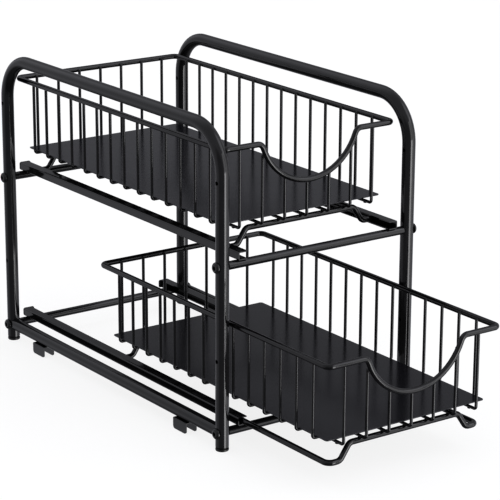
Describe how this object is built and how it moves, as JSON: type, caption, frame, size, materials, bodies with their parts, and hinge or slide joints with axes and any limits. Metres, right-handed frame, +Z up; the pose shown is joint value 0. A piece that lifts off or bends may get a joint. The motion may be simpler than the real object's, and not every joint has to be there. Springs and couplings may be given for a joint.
{
  "type": "pull-out cabinet basket",
  "caption": "Two-tier under-cabinet organizer: a bent-tube frame with wire baskets that slide out on C-channel tracks.",
  "frame": {"origin": "centre of the bounding box's bottom face, with the lower basket drawn out and the upper one closed; the frame's own centre is 71.6 mm behind it", "axes": "+Z up, +Y towards the back of the cabinet, so the baskets slide out along -Y; +X to the right seen from the front"},
  "size_m": [0.2344, 0.544, 0.312],
  "materials": {
    "frame_paint": "satin black powder coat",
    "wire_paint": "satin black powder coat on wire",
    "sheet_finish": "smooth dark grey coating with a soft sheen",
    "bolt_finish": "black zinc",
    "cap_plastic": "moulded black plastic"
  },
  "bodies": {
    "frame": {"left_side_tube": "frame_paint", "right_side_tube": "frame_paint", "left_lower_rail": "frame_paint", "right_lower_rail": "frame_paint", "front_lower_crossbar": "frame_paint", "back_lower_crossbar": "frame_paint", "front_upper_crossbar": "frame_paint", "back_upper_crossbar": "frame_paint", "lower_left_track": "frame_paint", "lower_right_track": "frame_paint", "upper_left_track": "frame_paint", "upper_right_track": "frame_paint", "crossbar_bolts": "bolt_finish", "foot_caps": "cap_plastic", "rail_clips": "frame_paint"},
    "upper_basket": {"upper_rim": "wire_paint", "upper_side_wires": "wire_paint", "upper_long_wires": "wire_paint", "upper_floor_sheet": "sheet_finish", "upper_runner": "wire_paint"},
    "lower_basket": {"lower_rim": "wire_paint", "lower_side_wires": "wire_paint", "lower_long_wires": "wire_paint", "lower_floor_sheet": "sheet_finish", "lower_runner": "wire_paint"}
  },
  "joints": [
    {"name": "upper_basket_slide", "type": "slide", "parent": "frame", "child": "upper_basket", "axis": [0, -1, 0], "range_m": [0, 0.22]},
    {"name": "lower_basket_slide", "type": "slide", "parent": "frame", "child": "lower_basket", "axis": [0, -1, 0], "range_m": [-0.15975, 0.06025]}
  ]
}
